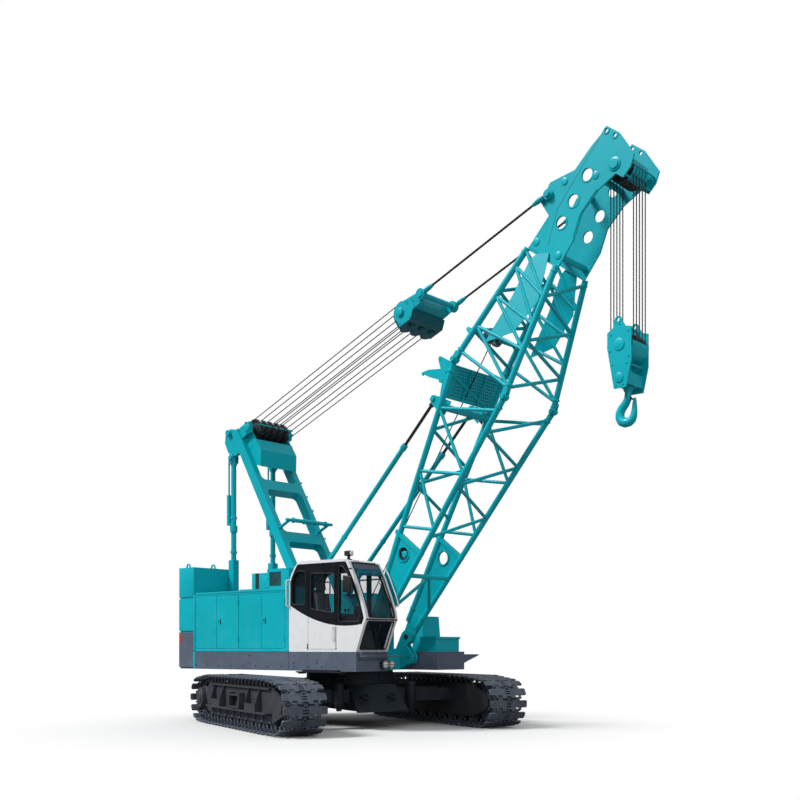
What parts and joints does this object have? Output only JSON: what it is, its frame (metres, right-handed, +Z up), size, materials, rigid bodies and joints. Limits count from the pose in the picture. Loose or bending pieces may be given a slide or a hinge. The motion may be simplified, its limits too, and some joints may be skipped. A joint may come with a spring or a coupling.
{
  "type": "crawler crane",
  "caption": "Tracked lattice-boom crane: slewing upper works with cab and counterweight, A-frame gantry, luffing boom, backstops and hanging hook block.",
  "frame": {"origin": "on the ground, at the middle of the whole machine in length and width, behind the boom tip and ahead of the slewing axis", "axes": "+X forward over the boom, +Y to the operator's left, +Z up"},
  "size_m": [10.315, 6.2152, 9.5304],
  "materials": {
    "paint_teal": "gloss enamel, turquoise",
    "paint_grey": "satin dark grey enamel",
    "paint_white": "gloss white enamel with black window band",
    "undercarriage_paint": "satin near-black enamel",
    "track_steel": "worn dark cast steel",
    "sheave_steel": "dark painted sheaves with bare grooves",
    "pin_steel": "greased dark steel",
    "wire_rope": "greased steel wire",
    "cab_glass": "tinted safety glass",
    "seat_fabric": "dark woven upholstery",
    "console_plastic": "dark moulded plastic"
  },
  "bodies": {
    "undercarriage": {"carbody": "undercarriage_paint", "slew_ring": "undercarriage_paint", "track_frame_right": "undercarriage_paint", "track_frame_left": "undercarriage_paint", "track_right": "track_steel", "track_left": "track_steel", "drive_wheels": "track_steel", "idler_wheels": "track_steel", "track_rollers": "track_steel", "travel_drives": "undercarriage_paint"},
    "upper_works": {"main_frame": "paint_teal", "boom_foot_pins": "pin_steel", "deck_right": "paint_grey", "house_right": "paint_teal", "deck_left": "paint_grey", "house_left": "paint_teal", "counterweight_lower": "paint_grey", "counterweight_middle": "paint_teal", "counterweight_top": "paint_teal", "engine": "paint_teal", "roof_boxes": "paint_teal", "cab_shell": "paint_white", "cab_glass": "cab_glass", "cab_seat": "seat_fabric", "cab_console": "console_plastic", "front_box": "paint_teal", "catwalk": "paint_grey", "winch_drums": "paint_teal", "gantry": "paint_teal", "gantry_sheaves": "sheave_steel", "backstays": "paint_teal"},
    "boom": {"boom_base": "paint_teal", "boom_tip": "paint_teal", "head_sheaves": "sheave_steel"},
    "luffing_line": {"luffing_falls": "wire_rope"},
    "luffing_stay": {"spreader": "paint_teal", "pendants": "wire_rope"},
    "backstop_tube": {"backstop_tubes": "paint_teal"},
    "backstop_rod": {"backstop_rods": "pin_steel"},
    "hoist_line": {"hoist_falls": "wire_rope", "hook_block": "paint_teal"},
    "hook_swivel": {"hook": "paint_teal"},
    "cab_door": {"cab_door": "paint_white", "cab_door_glass": "cab_glass"},
    "house_door_right_1": {"house_door_right_1": "paint_teal"},
    "house_door_right_2": {"house_door_right_2": "paint_teal"},
    "house_door_right_3": {"house_door_right_3": "paint_teal"},
    "house_door_right_4": {"house_door_right_4": "paint_teal"},
    "house_door_left_1": {"house_door_left_1": "paint_teal"},
    "house_door_left_2": {"house_door_left_2": "paint_teal"},
    "house_door_left_3": {"house_door_left_3": "paint_teal"},
    "house_door_left_4": {"house_door_left_4": "paint_teal"}
  },
  "joints": [
    {"name": "slewing", "type": "hinge", "parent": "undercarriage", "child": "upper_works", "pos_m": [-1.3975, 0, 1.051], "axis": [0, 0, 1], "continuous": true},
    {"name": "boom_luff", "type": "hinge", "parent": "upper_works", "child": "boom", "pos_m": [-0.3375, 0, 1.67], "axis": [0, -1, 0], "range_deg": [-23.5, 26.5]},
    {"name": "luffing_line_swing", "type": "hinge", "parent": "upper_works", "child": "luffing_line", "pos_m": [-3.7975, 0, 5.905], "axis": [0, -1, 0], "range_deg": [-18.65, 21.02]},
    {"name": "luffing_stay_slide", "type": "slide", "parent": "luffing_line", "child": "luffing_stay", "axis": [0.9334, 0, 0.3589], "range_m": [-2.4125, 2.1395]},
    {"name": "backstop_swing", "type": "hinge", "parent": "upper_works", "child": "backstop_tube", "pos_m": [-1.9475, 0, 2.6], "axis": [0, -1, 0], "range_deg": [-21.18, 23.89]},
    {"name": "backstop_slide", "type": "slide", "parent": "backstop_tube", "child": "backstop_rod", "axis": [0.7099, 0, 0.7043], "range_m": [-0.8225, 0.7295]},
    {"name": "hoist_line_swing", "type": "hinge", "parent": "boom", "child": "hoist_line", "pos_m": [4.80996, 0, 8.89538], "axis": [0, -1, 0], "range_deg": [-26.51, 23.51]},
    {"name": "hook_swivel", "type": "hinge", "parent": "hoist_line", "child": "hook_swivel", "pos_m": [4.80996, 0, 5.54538], "axis": [0, 0, 1], "continuous": true},
    {"name": "cab_door_hinge", "type": "hinge", "parent": "upper_works", "child": "cab_door", "pos_m": [-1.0205, -1.372, 2.185], "axis": [0, 0, -1], "range_deg": [0, 90]},
    {"name": "house_door_right_1_hinge", "type": "hinge", "parent": "upper_works", "child": "house_door_right_1", "pos_m": [-4.3165, -1.372, 1.973], "axis": [0, 0, -1], "range_deg": [0, 90]},
    {"name": "house_door_right_2_hinge", "type": "hinge", "parent": "upper_works", "child": "house_door_right_2", "pos_m": [-3.014, -1.372, 1.973], "axis": [0, 0, 1], "range_deg": [0, 90]},
    {"name": "house_door_right_3_hinge", "type": "hinge", "parent": "upper_works", "child": "house_door_right_3", "pos_m": [-2.98, -1.372, 1.973], "axis": [0, 0, -1], "range_deg": [0, 90]},
    {"name": "house_door_right_4_hinge", "type": "hinge", "parent": "upper_works", "child": "house_door_right_4", "pos_m": [-1.6775, -1.372, 1.973], "axis": [0, 0, 1], "range_deg": [0, 90]},
    {"name": "house_door_left_1_hinge", "type": "hinge", "parent": "upper_works", "child": "house_door_left_1", "pos_m": [-4.3165, 1.372, 1.973], "axis": [0, 0, 1], "range_deg": [0, 90]},
    {"name": "house_door_left_2_hinge", "type": "hinge", "parent": "upper_works", "child": "house_door_left_2", "pos_m": [-3.014, 1.372, 1.973], "axis": [0, 0, -1], "range_deg": [0, 90]},
    {"name": "house_door_left_3_hinge", "type": "hinge", "parent": "upper_works", "child": "house_door_left_3", "pos_m": [-2.98, 1.372, 1.973], "axis": [0, 0, 1], "range_deg": [0, 90]},
    {"name": "house_door_left_4_hinge", "type": "hinge", "parent": "upper_works", "child": "house_door_left_4", "pos_m": [-1.6775, 1.372, 1.973], "axis": [0, 0, -1], "range_deg": [0, 90]}
  ],
  "couplings": [
    {"joint": "luffing_line_swing", "follows": "boom_luff", "ratio": 0.793},
    {"joint": "luffing_stay_slide", "follows": "boom_luff", "m_per_rad": -5.2139},
    {"joint": "backstop_swing", "follows": "boom_luff", "ratio": 0.901},
    {"joint": "backstop_slide", "follows": "boom_luff", "m_per_rad": -1.7762},
    {"joint": "hoist_line_swing", "follows": "boom_luff", "ratio": -1}
  ]
}
